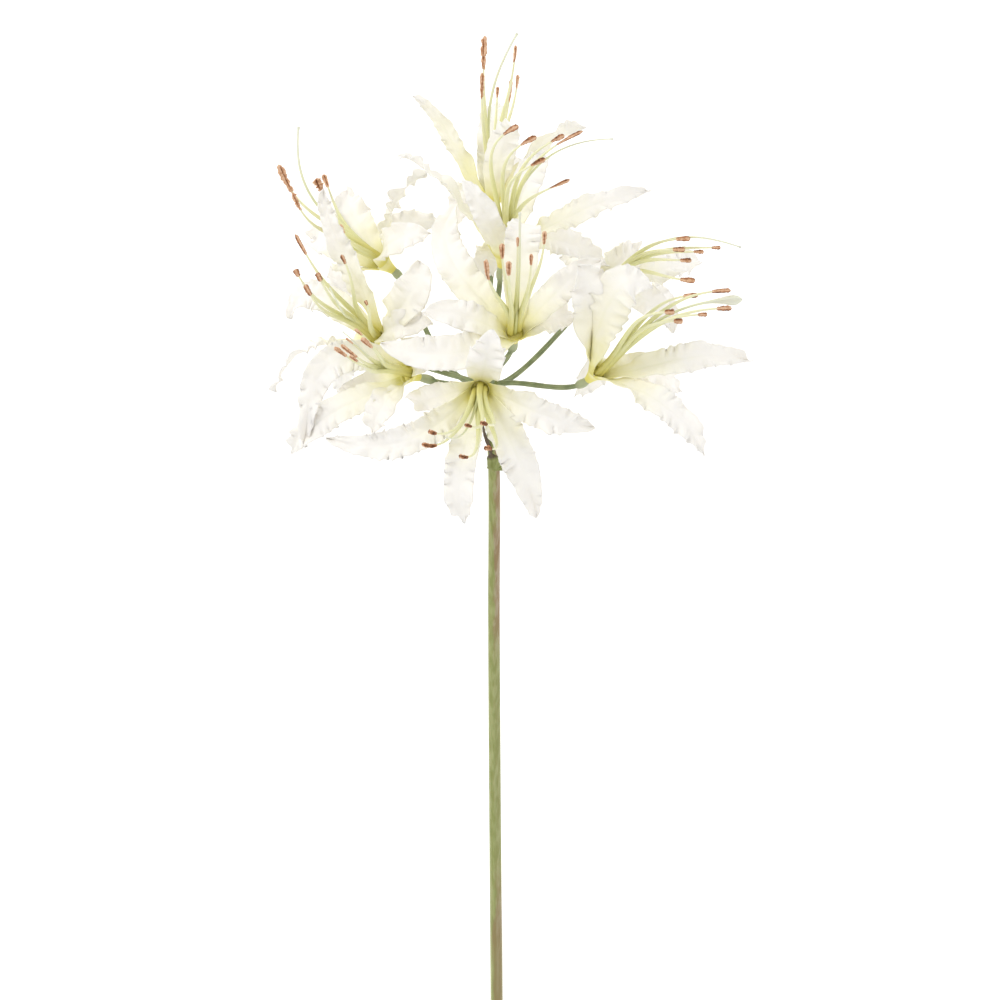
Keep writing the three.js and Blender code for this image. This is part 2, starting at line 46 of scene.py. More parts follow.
# A petal ends at its tip and bends over by way of via. Its face turns up to the sky by the share in
# level, tapersFrom is the share along it where it starts to narrow, crinkled multiplies its crinkles,
# and with glow under 1 the yellow-green reaches further along it. A stalk leaves the knob in the
# direction of seat, straight for about the length in leave. The ends of the threads and their
# anthers point along sweep, and antherSizes gives each anther's length and width
florets = {
    "frontLow": {
        "throat": (-6, 4, 38),
        "facing": (-0.1, -0.35, 0.93),
        "seat": (-0.15, -0.05, 0.99),
        "sweep": (-0.62, 0.22, 0.75),
        "petals": [
            {"tip": (45, -12, 28), "crinkled": 1.2},
            {
                "tip": (19.5, -53, 26), "via": (15, -29, 46),
                "width": 15.5, "tapersFrom": 0.56, "crinkled": 1.2,
            },
            {"tip": (-13, -55, 22), "via": (-20, -36, 42), "tapersFrom": 0.72, "crinkled": 1.2},
            {"tip": (-74, -17, 34), "via": (-38, -30, 50), "crinkled": 2.2},
            {"tip": (-38, 1, 2)},
            {"tip": (0, 31, 70), "width": 16},
        ],
        "anthers": [
            (-27, -15, 80), (-29, -21, 68), (-11, -12, 88), (-4, -11, 84), (-13, -26, 74), (-2, -22, 78),
        ],
        "antherSizes": [(4, 2.6), (9.2, 2.5), (4, 2.1), (3.4, 2.6), (5.6, 2.3), (3.6, 2.8)],
        "style": (-21, -17, 70),
        "styleTip": 0.36,
    },
    "frontHigh": {
        "throat": (10, 31, 36),
        "facing": (0.05, 0.5, 0.86),
        "seat": (0.2, 0.5, 0.84),
        "sweep": (0, 0.8, 0.6),
        "petals": [
            {"tip": (16, 70, 26), "via": (14, 100, 50), "width": 15},
            {"tip": (-15, 90, 2), "via": (-36, 66, 20), "width": 16, "tapersFrom": 0.5},
            {"tip": (-31, 39, 44)},
            {"tip": (-50, 25, 40), "via": (-24, 14, 50), "width": 16},
            {"tip": (48, 62, 22)},
            {"tip": (37, 38, 10)},
        ],
        "anthers": [(-3, 59, 80), (4, 66, 78), (7, 58, 84), (17, 62, 82), (23, 72, 76), (11, 70, 78)],
        "antherSizes": [(12, 2.0), (7.8, 2.3), (7.5, 2.4), (6, 1.6), (6.5, 1.8), (5, 1.4)],
        "style": (12, 83, 70),
    },
    "topBack": {
        "throat": (-1, 92, -18),
        "facing": (-0.05, 0.93, -0.3),
        "seat": (-0.05, 0.93, -0.36),
        "sweep": (0.05, 1, 0.1),
        "petals": [
            {"tip": (-36, 137, -12), "width": 7.5, "tapersFrom": 0.4, "glow": 0.6},
            {"tip": (1, 135, -50)},
            {"tip": (42, 124, -34), "level": 0, "crinkled": 0.3, "glow": 0.7},
            {"tip": (19, 106, -76)},
            {"tip": (-19, 79, -76)},
            {"tip": (9, 124, 6)},
        ],
        "anthers": [
            (-4, 161, -10), (-5, 144, -2), (10, 157, -18), (11, 144, -8), (8, 142, -26), (2, 140, -32),
        ],
        "antherSizes": [(15, 2.4), (12, 1.6), (7.6, 1.5), (6.2, 1.5), (11, 1.6), (5, 1.4)],
        "style": (11, 166, -12),
        "styleSweep": (0.5, 0.87, 0),
    },
    "topFront": {
        "throat": (4.5, 68, 13),
        "facing": (0.08, 0.9, 0.44),
        "seat": (0.08, 0.93, 0.36),
        "sweep": (0.9, 0.4, 0.1),
        "petals": [
            {"tip": (70, 94, 5), "via": (46, 92, 24), "width": 10.8, "tapersFrom": 0.54, "glow": 0.8},
            {"tip": (-43, 110, 8), "level": 0, "crinkled": 0.7, "glow": 0.8},
            {"tip": (23, 112, -20)},
            {"tip": (-14, 98, 44), "via": (-1, 84, 46), "width": 11},
            {"tip": (51, 61, -18)},
            {"tip": (-7, 50, -8), "width": 11},
        ],
        "anthers": [(8, 121, 44), (16, 116, 50), (20, 106, 56), (29, 117, 42), (37, 119, 34), (31, 97, 42)],
        "antherSizes": [(8.7, 2.3), (8.5, 2.3), (7.5, 2.6), (6.7, 2.2), (15, 1.5), (10.6, 1.7)],
        "style": (54, 117, 30),
        "styleTip": 0.3,
        "styleSweep": (1, 0, 0),
    },
    "rightBack": {
        "throat": (49, 52, -18),
        "facing": (0.65, 0.7, -0.15),
        "seat": (0.93, 0.25, -0.25),
        "sweep": (1, 0, 0.1),
        "petals": [
            {"tip": (66, 68, -45)},
            {"tip": (94, 63, -48)},
            {"tip": (82, 31, -76)},
            {"tip": (44, 31, -76)},
            {"tip": (30, 65, -54)},
            {"tip": (80, 34, -30)},
        ],
        "anthers": [(86, 73, -6), (84, 68, 2), (93, 67, -2), (87, 63, 4), (101, 69, -10), (88, 54, 2)],
        "antherSizes": [(6.3, 2.1), (5.4, 2.3), (4.4, 1.7), (5, 2.0), (3.8, 1.6), (6.6, 2.3)],
        "style": (112, 69, -6),
        "styleTip": 0.38,
        "styleSweep": (1, -0.35, -0.1),
    },
    "rightFront": {
        "throat": (48, 14, 22),
        "facing": (0.6, 0.57, 0.56),
        "seat": (0.88, 0.25, 0.4),
        "sweep": (1, 0, 0),
        "petals": [
            {"tip": (115, 17.5, 10), "tapersFrom": 0.5},
            {"tip": (95, -25, 20)},
            {"tip": (84, 4, -14)},
            {"tip": (37, 2, -28)},
            {"tip": (38, 60, 46), "width": 20, "glow": 0.85},
            {"tip": (71, 50, 44), "via": (52, 64, 56), "width": 20, "glow": 0.75},
        ],
        "anthers": [(89, 47, 22), (103, 49, 30), (79, 39, 60), (83, 35, 56), (94, 38, 46), (104, 41, 34)],
        "antherSizes": [(6.5, 2.1), (8.2, 1.8), (4.3, 2.3), (3.8, 2.5), (3.9, 1.7), (6.2, 2.1)],
        "style": (112, 45, 28),
    },
    "leftBack": {
        "throat": (-52, 64, -20),
        "facing": (-0.78, 0.58, 0.15),
        "seat": (-0.9, 0.15, -0.35),
        "leave": 24,
        "sweep": (-0.35, 0.93, 0.05),
        "petals": [
            {"tip": (-66, 95, -46), "width": 15},
            {"tip": (-30, 103, -25), "level": 0},
            {"tip": (-24, 82, -50)},
            {"tip": (-28, 75, 8)},
            {"tip": (-67, 45, -76)},
            {"tip": (-82, 74, -76)},
        ],
        "anthers": [
            (-95.5, 103, -5), (-89, 90, 8), (-79, 98, -30), (-76, 100, -38), (-75, 76, 0), (-68, 77, 2),
        ],
        "antherSizes": [(14.8, 2.5), (9.5, 1.8), (6.2, 3.2), (6, 2.2), (6, 1.8), (5, 1.6)],
        "style": (-88, 124, -20),
        "styleSweep": (0.1, 1, 0.1),
    },
    "leftMiddle": {
        "throat": (-54, 29, 2),
        "facing": (-0.65, 0.6, 0.5),
        "seat": (-0.93, 0.35, 0.1),
        "sweep": (-0.45, 0.88, 0.1),
        "petals": [
            {"tip": (-76, 95, 18), "width": 10, "tapersFrom": 0.42},
            {"tip": (-92, 37, -20), "via": (-87, 62, -12), "level": 0},
            {"tip": (-99, 4, 0), "via": (-88, 34, 20), "level": 0},
            {"tip": (-33, 62, 16), "via": (-30, 48, 26), "width": 17},
            {"tip": (-27, 34, 20)},
            {"tip": (-67, 0, -50)},
        ],
        "anthers": [(-87, 71, 28), (-78, 55, 40), (-88, 57, 34), (-83, 49, 42), (-67, 63, 40), (-56, 42, 52)],
        "antherSizes": [(10.3, 1.7), (4, 2.3), (3.4, 2.4), (5.6, 2.2), (4.3, 1.6), (5, 1.3)],
        "straightThread": 5,
        "style": (-73, 50, 50),
        "styleTip": 0.3,
    },
    "leftFront": {
        "throat": (-40, 12, 24),
        "facing": (-0.75, 0.2, 0.62),
        "seat": (-0.75, 0, 0.66),
        "sweep": (-0.75, 0.6, 0.3),
        "petals": [
            {"tip": (-84, -21, 4), "via": (-86, 34, 30), "width": 14},
            {"tip": (-70, -8, -8)},
            {"tip": (-54, -15, 24)},
            {"tip": (-22, 24, -10)},
            {"tip": (-25, 22, 30)},
            {"tip": (-91, -24, -6)},
        ],
        "anthers": [(-65, 22, 68), (-68, 21, 64), (-64, 26, 66), (-56, 25, 70), (-62, 18, 72), (-60, 30, 62)],
        "antherSizes": [(11, 1.8), (7.5, 2.0), (4.2, 1.3), (7.5, 2.4), (5, 1.6), (4.5, 1.5)],
        "style": (-67, 30, 72),
        "styleTip": 0.3,
    },
}


def smoothStep(value, low, high):
    share = min(max((value - low) / (high - low), 0.0), 1.0)
    return share * share * (3 - 2 * share)


def between(low, high, share):
    return low + (high - low) * share


def unit(values):
    return Vector(values).normalized()


def bezierRow(controls, count):
    # Places and tangents along a cubic curve, at even steps of its parameter
    a, b, c, d = controls
    row = []
    for i in range(count + 1):
        t = i / count
        place = a * (1 - t) ** 3 + b * (3 * t * (1 - t) ** 2) + c * (3 * t * t * (1 - t)) + d * t**3
        tangent = (b - a) * (1 - t) ** 2 + (c - b) * (2 * t * (1 - t)) + (d - c) * t * t
        row.append((place, tangent.normalized()))
    return row


def tangentRow(places):
    # Places with the tangents that their neighbours give
    last = len(places) - 1
    row = []
    for i, place in enumerate(places):
        ahead, behind = places[min(i + 1, last)], places[max(i - 1, 0)]
        row.append((place, (ahead - behind).normalized()))
    return row


def carried(row, first):
    # Each step keeps a direction square to the row, carried along without spin
    held = Vector(first)
    steps = []
    for place, tangent in row:
        held = (held - tangent * held.dot(tangent)).normalized()
        steps.append((place, tangent, held.copy()))
    return steps


def skyOver(direction):
    # A first direction to carry along, well away from the row's own
    return Vector((0, 1, 0)) if abs(direction.z) > abs(direction.y) else Vector((0, 0, 1))


def lengthOf(row):
    return sum((row[i + 1][0] - row[i][0]).length for i in range(len(row) - 1))


def onTable(place):
    world = (place + crown) * millimetre
    world.z = max(world.z, 0.0)
    return world


def selectOnly(*pieces):
    if bpy.context.object and bpy.context.object.mode != "OBJECT":
        bpy.ops.object.mode_set(mode="OBJECT")
    bpy.ops.object.select_all(action="DESELECT")
    for piece in pieces:
        piece.select_set(True)
    if pieces:
        bpy.context.view_layer.objects.active = pieces[0]


def ownCopy(source, name):
    # A copy with its own mesh
    piece = bpy.data.objects.new(name, source.data.copy())
    bpy.context.scene.collection.objects.link(piece)
    return piece


def joinAll(pieces, name):
    selectOnly(*pieces)
    bpy.ops.object.join()
    whole = bpy.context.object
    whole.name = name
    whole.data.name = name
    return whole


def smoothFaces(piece, angle=None):
    selectOnly(piece)
    if angle is None:
        bpy.ops.object.shade_smooth()
    else:
        bpy.ops.object.shade_smooth_by_angle(angle=math.radians(angle))


def thicken(piece, thickness):
    selectOnly(piece)
    modifier = piece.modifiers.new("Solidify", "SOLIDIFY")
    modifier.thickness = thickness
    modifier.offset = 0
    bpy.ops.object.modifier_apply(modifier=modifier.name)


def markVertices(piece, marks):
    # "lay" holds how far across, how far along and which one, for the materials to read
    layer = piece.data.attributes.new("lay", "FLOAT_VECTOR", "POINT")
    layer.data.foreach_set("vector", [value for mark in marks for value in mark])


def roundBar(name, sides, rings):
    # An upright unit bar with even rings, ready to be bent
    selectOnly()
    bpy.ops.mesh.primitive_cylinder_add(vertices=sides, radius=1, depth=1, end_fill_type="TRIFAN")
    bar = bpy.context.object
    bar.name = name
    bpy.ops.object.mode_set(mode="EDIT")
    bpy.ops.mesh.select_mode(type="EDGE")
    bpy.ops.mesh.select_all(action="DESELECT")
    mesh = bmesh.from_edit_mesh(bar.data)
    for edge in mesh.edges:
        low, high = edge.verts
        edge.select_set(abs(low.co.z - high.co.z) > 0.5)  # the upright edges alone
    bmesh.update_edit_mesh(bar.data)
    bpy.ops.mesh.subdivide(number_cuts=rings - 1)
    bpy.ops.mesh.select_mode(type="VERT")
    bpy.ops.object.mode_set(mode="OBJECT")
    return bar


def roundPlace(vertex):
    # Where a vertex of an upright unit bar is: share of the height, reach and angle
    share = min(max(vertex.co.z + 0.5, 0.0), 1.0)
    return share, math.hypot(vertex.co.x, vertex.co.y), math.atan2(vertex.co.x, vertex.co.y)


def bendBar(bar, row, radiusAt, number):
    # Lays the unit bar along a row of places. radiusAt takes the share along and the angle
    steps = carried(row, skyOver(row[0][1]))
    last = len(steps) - 1
    marks = []
    for vertex in bar.data.vertices:
        share, reach, angle = roundPlace(vertex)
        place, tangent, held = steps[round(share * last)]
        across = tangent.cross(held)
        radius = radiusAt(share, angle) * reach
        cutFace = reach < 0.5 and share < 0.5  # the middle of the bar's lower end
        marks.append((angle / turn + 0.5, -1 if cutFace else share, number))
        vertex.co = onTable(place + across * (radius * math.sin(angle)) + held * (radius * math.cos(angle)))
    markVertices(bar, marks)


# Materials

def newMaterial(name, sockets):
    material = bpy.data.materials.new(name)
    material.use_nodes = True
    tree = material.node_tree
    shader = tree.nodes["Principled BSDF"]
    for key, value in sockets.items():
        shader.inputs[key].default_value = value
    return material, tree, shader


def feed(tree, value, socket):
    # A socket takes another node's output, a number, or a colour without its alpha
    if isinstance(value, bpy.types.NodeSocket):
        tree.links.new(value, socket)
    else:
        socket.default_value = (*value, 1) if isinstance(value, tuple) else value


def colourRamp(tree, factor, stops):
    node = tree.nodes.new("ShaderNodeValToRGB")
    ramp = node.color_ramp
    ramp.interpolation = "EASE"
    while len(ramp.elements) < len(stops):
        ramp.elements.new(0.5)
    for element, (place, colour) in zip(ramp.elements, stops):
        element.position = place
        element.color = (*colour, 1)
    tree.links.new(factor, node.inputs[0])
    return node.outputs[0]


def greyRamp(tree, factor, stops):
    return colourRamp(tree, factor, [(place, (grey, grey, grey)) for place, grey in stops])


def mixColours(tree, kind, factor, first, second):
    node = tree.nodes.new("ShaderNodeMix")
    node.data_type = "RGBA"
    node.blend_type = kind
    feed(tree, factor, node.inputs[0])
    feed(tree, first, node.inputs[6])
    feed(tree, second, node.inputs[7])
    return node.outputs[2]


def calculate(tree, kind, first, second=0.0, third=0.0, clamp=False):
    node = tree.nodes.new("ShaderNodeMath")
    node.operation = kind
    node.use_clamp = clamp
    for socket, value in zip(node.inputs, (first, second, third)):
        feed(tree, value, socket)
    return node.outputs[0]


def noiseOf(tree, vector, scale, detail, roughness=0.5):
    node = tree.nodes.new("ShaderNodeTexNoise")
    node.inputs["Scale"].default_value = scale
    node.inputs["Detail"].default_value = detail
    node.inputs["Roughness"].default_value = roughness
    tree.links.new(vector, node.inputs["Vector"])
    return node.outputs["Fac"]


def splitUp(tree, vector):
    node = tree.nodes.new("ShaderNodeSeparateXYZ")
    tree.links.new(vector, node.inputs[0])
    return node.outputs


def layOf(tree):
    node = tree.nodes.new("ShaderNodeAttribute")
    node.attribute_name = "lay"
    return node.outputs["Vector"]


def objectPlace(tree):
    return tree.nodes.new("ShaderNodeTexCoord").outputs["Object"]


def stretched(tree, vector, scale):
    node = tree.nodes.new("ShaderNodeMapping")
    node.inputs["Scale"].default_value = scale
    tree.links.new(vector, node.inputs["Vector"])
    return node.outputs[0]


def addRelief(tree, shader, look, height):
    node = tree.nodes.new("ShaderNodeBump")
    node.inputs["Strength"].default_value = look["relief"]
    node.inputs["Distance"].default_value = look["reliefDepth"]
    tree.links.new(height, node.inputs["Height"])
    tree.links.new(node.outputs[0], shader.inputs["Normal"])


def addRoughness(tree, shader, look, pattern):
    rough = calculate(tree, "MULTIPLY_ADD", pattern, look["roughnessSpread"], look["roughness"])
    tree.links.new(rough, shader.inputs["Roughness"])


petalLook = {
    "white": (0.965, 0.932, 0.885),
    "cream": (0.96, 0.92, 0.855),
    "cool": (0.935, 0.90, 0.87),
    "glow": (0.87, 0.83, 0.46),
    "throat": (0.76, 0.69, 0.17),
    "vein": (0.88, 0.865, 0.75),
    "creamPatches": 70,
    "coolPatches": 190,
    "coolness": 1.4,
    "veinTint": 0.12,
    "veinSharpness": 3.0,
    "veinRelief": 0.2,
    "ribNarrowness": 7.0,
    "ribEnd": 0.75,
    "glowWobble": 0.16,
    # where the yellow-green fades, as shares of the petal's length
    "glowFades": [(0.0, 1), (0.12, 0.85), (0.34, 0.3), (0.65, 0)],
    "throatFades": [(0.0, 1), (0.15, 0)],
    "crinkles": 420,
    "relief": 0.35,
    "reliefDepth": 0.0006,
    "roughness": 0.38,
    "roughnessSpread": 0.25,
}


def petalMaterial():
    look = petalLook
    material, tree, shader = newMaterial("petalWhite", {
        "Subsurface Weight": 0.3,
        "Subsurface Radius": (1.0, 0.97, 0.88),
        "Subsurface Scale": 0.0012,
        "Specular IOR Level": 0.35,
    })
    place = objectPlace(tree)
    lay = layOf(tree)
    across, along = splitUp(tree, lay)[:2]
    # Soft patches of cream and cool white
    patches = noiseOf(tree, place, look["creamPatches"], 2)
    warm = colourRamp(tree, patches, [(0.35, look["white"]), (0.75, look["cream"])])
    shade = noiseOf(tree, place, look["coolPatches"], 3)
    cool = calculate(tree, "SUBTRACT", shade, 0.5, clamp=True)
    cool = calculate(tree, "MULTIPLY", cool, look["coolness"], clamp=True)
    colour = mixColours(tree, "MIX", cool, warm, look["cool"])
    # Fine veins run along each petal
    veins = tree.nodes.new("ShaderNodeTexWave")
    veins.bands_direction = "X"
    veins.inputs["Scale"].default_value = 0.6
    veins.inputs["Distortion"].default_value = 0.9
    veins.inputs["Detail"].default_value = 1.0
    tree.links.new(stretched(tree, lay, (9.0, 1.1, 7.0)), veins.inputs["Vector"])
    veinLine = calculate(tree, "POWER", veins.outputs["Fac"], look["veinSharpness"])
    faint = calculate(tree, "MULTIPLY", veinLine, look["veinTint"])
    colour = mixColours(tree, "MIX", faint, colour, look["vein"])
    # The rib is a little greener in the lower half
    ribWidth = calculate(tree, "MULTIPLY", calculate(tree, "ABSOLUTE", across), look["ribNarrowness"])
    ribLine = calculate(tree, "SUBTRACT", 1.0, ribWidth, clamp=True)
    ribFade = calculate(tree, "SUBTRACT", look["ribEnd"], along, clamp=True)
    colour = mixColours(tree, "MIX", calculate(tree, "MULTIPLY", ribLine, ribFade), colour, look["vein"])
    # Yellow-green wells up from the throat
    wobble = calculate(tree, "MULTIPLY", calculate(tree, "SUBTRACT", shade, 0.5), look["glowWobble"])
    reach = calculate(tree, "ADD", along, wobble)
    colour = mixColours(tree, "MIX", greyRamp(tree, reach, look["glowFades"]), colour, look["glow"])
    colour = mixColours(tree, "MIX", greyRamp(tree, reach, look["throatFades"]), colour, look["throat"])
    tree.links.new(colour, shader.inputs["Base Color"])
    # Fine crinkles, veins and a glistening skin
    crinkle = noiseOf(tree, place, look["crinkles"], 4, 0.6)
    veinRelief = calculate(tree, "MULTIPLY", veins.outputs["Fac"], look["veinRelief"])
    addRelief(tree, shader, look, calculate(tree, "ADD", crinkle, veinRelief))
    addRoughness(tree, shader, look, crinkle)
    return material


threadLook = {
    "root": (0.68, 0.62, 0.17),
    "middle": (0.74, 0.73, 0.37),
    "end": (0.82, 0.81, 0.55),
    "middleAt": 0.35,
    "endAt": 0.95,
    "patches": 240,
    "wander": 0.2,
    "relief": 0.3,
    "reliefDepth": 0.0002,
}
styleLook = {
    "root": (0.62, 0.62, 0.26),
    "middle": (0.71, 0.72, 0.46),
    "end": (0.78, 0.79, 0.65),
    "middleAt": 0.5,
    "endAt": 0.97,
    "patches": 260,
    "wander": 0.16,
    "relief": 0.25,
    "reliefDepth": 0.0002,
}


def colourAlong(tree, shader, look, lay):
    # From the root's colour to the end's, with wandering borders between them
    patches = noiseOf(tree, objectPlace(tree), look["patches"], 2)
    shifted = calculate(tree, "SUBTRACT", splitUp(tree, lay)[1], look["wander"] / 2)
    reach = calculate(tree, "MULTIPLY_ADD", patches, look["wander"], shifted)
    stops = [(0.0, look["root"]), (look["middleAt"], look["middle"]), (look["endAt"], look["end"])]
    tree.links.new(colourRamp(tree, reach, stops), shader.inputs["Base Color"])
    return patches


def threadMaterial():
    material, tree, shader = newMaterial("threadYellowGreen", {
        "Roughness": 0.42,
        "Subsurface Weight": 0.2,
        "Subsurface Radius": (1.0, 0.95, 0.4),
        "Subsurface Scale": 0.0008,
    })
    lay = layOf(tree)
    colourAlong(tree, shader, threadLook, lay)
    grain = noiseOf(tree, stretched(tree, lay, (14, 3, 5)), 2.0, 3)
    addRelief(tree, shader, threadLook, grain)
    return material


def styleMaterial():
    material, tree, shader = newMaterial("stylePaleGreen", {
        "Roughness": 0.4,
        "Subsurface Weight": 0.2,
        "Subsurface Radius": (1.0, 1.0, 0.6),
        "Subsurface Scale": 0.0008,
    })
    patches = colourAlong(tree, shader, styleLook, layOf(tree))
    addRelief(tree, shader, styleLook, patches)
    return material


antherLook = {
    "body": (0.49, 0.225, 0.11),
    "dark": (0.14, 0.056, 0.026),
    "rim": (0.80, 0.54, 0.36),
    "grain": 1500,
    "patches": 620,
    "patchShare": 0.55,
    "grainShare": 0.15,
    "lobeShare": 0.28,
    "relief": 0.6,
    "reliefDepth": 0.0002,
}


def antherMaterial():
    look = antherLook
    material, tree, shader = newMaterial("antherTerracotta", {"Roughness": 0.8, "Specular IOR Level": 0.2})
    place = objectPlace(tree)
    lobe = splitUp(tree, layOf(tree))[0]
    grain = noiseOf(tree, place, look["grain"], 3, 0.6)
    patches = noiseOf(tree, place, look["patches"], 3, 0.7)
    mixed = calculate(tree, "MULTIPLY", grain, look["grainShare"])
    mixed = calculate(tree, "MULTIPLY_ADD", patches, look["patchShare"], mixed)
    mixed = calculate(tree, "MULTIPLY_ADD", lobe, look["lobeShare"], mixed)
    colour = colourRamp(tree, mixed, [(0.36, look["dark"]), (0.52, look["body"]), (0.70, look["rim"])])
    tree.links.new(colour, shader.inputs["Base Color"])
    addRelief(tree, shader, look, grain)
    return material


stalkLook = {
    "light": (0.30, 0.34, 0.18),
    "dark": (0.14, 0.18, 0.075),
    "ovary": (0.40, 0.44, 0.26),
    "ovaryFades": [(0.80, 0), (0.90, 0.85)],
    "streakShare": 0.6,
    "patches": 220,
    "patchShare": 0.4,
    "relief": 0.4,
    "reliefDepth": 0.0004,
    "roughness": 0.35,
    "roughnessSpread": 0.3,
}


def stalkMaterial():
    look = stalkLook
    material, tree, shader = newMaterial("stalkGreyGreen", {
        "Subsurface Weight": 0.08,
        "Subsurface Scale": 0.001,
    })
    lay = layOf(tree)
    streaks = noiseOf(tree, stretched(tree, lay, (12, 2.2, 5)), 1.6, 4, 0.6)
    patches = noiseOf(tree, objectPlace(tree), look["patches"], 3)
    blend = calculate(tree, "MULTIPLY", patches, look["patchShare"])
    blend = calculate(tree, "MULTIPLY_ADD", streaks, look["streakShare"], blend)
    colour = colourRamp(tree, blend, [(0.36, look["dark"]), (0.62, look["light"])])
    swollen = greyRamp(tree, splitUp(tree, lay)[1], look["ovaryFades"])
    colour = mixColours(tree, "MIX", swollen, colour, look["ovary"])
    tree.links.new(colour, shader.inputs["Base Color"])
    addRelief(tree, shader, look, streaks)
    addRoughness(tree, shader, look, patches)
    return material


stemLook = {
    "green": (0.25, 0.28, 0.078),
    "pale": (0.37, 0.395, 0.165),
    "brown": (0.30, 0.185, 0.10),
    "mauve": (0.40, 0.30, 0.215),
    "umber": (0.255, 0.205, 0.075),
    "sleeve": (0.76, 0.78, 0.62),
    "cut": (0.62, 0.66, 0.42),
    "withered": (0.10, 0.07, 0.04),
    # along the lying stem, 0 at the cut end and 1 past the ring
    "lengthPerMetre": 3.33,
    "lengthAtOrigin": 0.833,
    "lowerFades": [(0.26, 1), (0.42, 0)],
    "flushFades": [(0.32, 1), (0.43, 0.12), (0.70, 0.12), (0.80, 1)],
    "umberShare": 0.7,
    # round the stem
    "sideFades": [(0.46, 0), (0.55, 0.8), (0.82, 0.9), (0.95, 0)],
    "sideStart": 0.17,
    "sideTurn": 0.12,
    "sideWander": 0.34,
    # along the sheath
    "witherFades": [(0.29, 0), (0.36, 1)],
    "witherWander": 0.1,
    "relief": 0.5,
    "reliefDepth": 0.0005,
    "roughness": 0.3,
    "roughnessSpread": 0.35,
}
stemNumbers = {"stem": 0, "ring": 1, "nub": 1, "knob": 2, "sheath": 3}


def stemMaterial():
    look = stemLook
    material, tree, shader = newMaterial("stemOlive", {
        "Subsurface Weight": 0.06,
        "Subsurface Scale": 0.001,
    })
    place = objectPlace(tree)
    around, along, which = splitUp(tree, layOf(tree))
    streaks = noiseOf(tree, stretched(tree, place, (620, 24, 620)), 1.0, 4, 0.6)
    patches = noiseOf(tree, stretched(tree, place, (260, 40, 260)), 1.0, 3)
    green = colourRamp(tree, streaks, [(0.34, look["green"]), (0.68, look["pale"])])
    # One side is flushed brown and mauve, in long patches that all but fade along the middle.
    # Towards the cut end the flush is browner, and lies further round the stem
    y = splitUp(tree, place)[1]
    length = calculate(tree, "MULTIPLY_ADD", y, look["lengthPerMetre"], look["lengthAtOrigin"])
    lower = greyRamp(tree, length, look["lowerFades"])
    blush = colourRamp(tree, streaks, [(0.42, look["brown"]), (0.62, look["mauve"])])
    browner = calculate(tree, "MULTIPLY", lower, look["umberShare"])
    flush = mixColours(tree, "MIX", browner, blush, look["umber"])
    turned = calculate(tree, "SUBTRACT", around, look["sideStart"])
    turned = calculate(tree, "MULTIPLY_ADD", lower, look["sideTurn"], turned)
    turned = calculate(tree, "MULTIPLY_ADD", patches, look["sideWander"], turned)
    side = greyRamp(tree, turned, look["sideFades"])
    flushed = calculate(tree, "MULTIPLY", side, greyRamp(tree, length, look["flushFades"]))
    stemOnly = calculate(tree, "LESS_THAN", which, stemNumbers["stem"] + 0.5)
    flushed = calculate(tree, "MULTIPLY", flushed, stemOnly)
    colour = mixColours(tree, "MIX", flushed, green, flush)
    # The sheath, its ring, the nub and the knob are a deeper green
    deeper = calculate(tree, "SUBTRACT", 1.0, stemOnly)
    colour = mixColours(tree, "MULTIPLY", deeper, colour, look["sleeve"])
    # The sheath withers to brown from a third of its length on
    withering = calculate(tree, "SUBTRACT", along, look["witherWander"] / 2)
    withering = calculate(tree, "MULTIPLY_ADD", patches, look["witherWander"], withering)
    sheathOnly = calculate(tree, "GREATER_THAN", which, stemNumbers["sheath"] - 0.5)
    withered = calculate(tree, "MULTIPLY", sheathOnly, greyRamp(tree, withering, look["witherFades"]))
    colour = mixColours(tree, "MIX", withered, colour, look["withered"])
    cutEnd = calculate(tree, "LESS_THAN", along, -0.12)
    colour = mixColours(tree, "MIX", cutEnd, colour, look["cut"])
    tree.links.new(colour, shader.inputs["Base Color"])
    addRelief(tree, shader, look, streaks)
    addRoughness(tree, shader, look, patches)
    return material


petalWhite = petalMaterial()
threadYellowGreen = threadMaterial()
stylePaleGreen = styleMaterial()
antherTerracotta = antherMaterial()
stalkGreyGreen = stalkMaterial()
stemOlive = stemMaterial()
print("materials made")


# Petals: one flat strap, copied and laid along each petal's curve

petalShape = {
    "columns": 20,
    "rows": 90,
    "thickness": 0.5,
    # the outline, with shares of the length
    "width": 13,
    "rootWidth": 6.4,
    "tipWidth": 0.8,
    "widensFrom": 0.02,
    "widestFrom": 0.42,
    "tapersFrom": 0.62,
    "taperPower": 0.78,
    # the way out of the throat and over
    "rootDepth": 3.4,
    "rootRadius": 3.6,
    "mouthRadius": 4.7,
    "evenness": 0.6,
    "rise": 0.15,
    "spread": 0.12,
    "bendAt": 0.62,
    "bendRise": 0.24,
    "cupFrom": 0.06,
    "cupTo": 0.3,
    "cupOpening": 26,
    # how far the face turns up to the sky
    "level": 0.8,
    "levelAt": 0.6,
    "levelFrom": 0.08,
    # waves and the channel along the middle
    "waves": 3.4,
    "ruffle": 1.5,
    "edgeLag": 0.9,
    "phaseStep": 1.7,
    "channel": 0.9,
    "wavesFrom": 0.08,
    "wavesFull": 0.35,
    # finer than the solids: crinkled edges, cross creases, scallops and the rib's groove
    "crinkle": 2.15,
    "crinkleLength": 6.6,
    "crinklesFrom": 0.18,
    "crinklesFull": 0.5,
    "crinklesInto": 1.1,
    "billow": 1.1,
    "billowLength": 8,
    "crease": 0.2,
    "creaseLength": 1.9,
    "scallop": 0.65,
    "scallopsFrom": 0.2,
    "scallopsTo": 0.93,
    "nibble": 0.5,
    "nibbleLength": 1.7,
    "groove": 0.28,
    "grooveWidth": 0.11,
    # on the table
    "clear": 0.04,
    "restSoft": 1.4,
    "edgeSoft": 0.4,
}
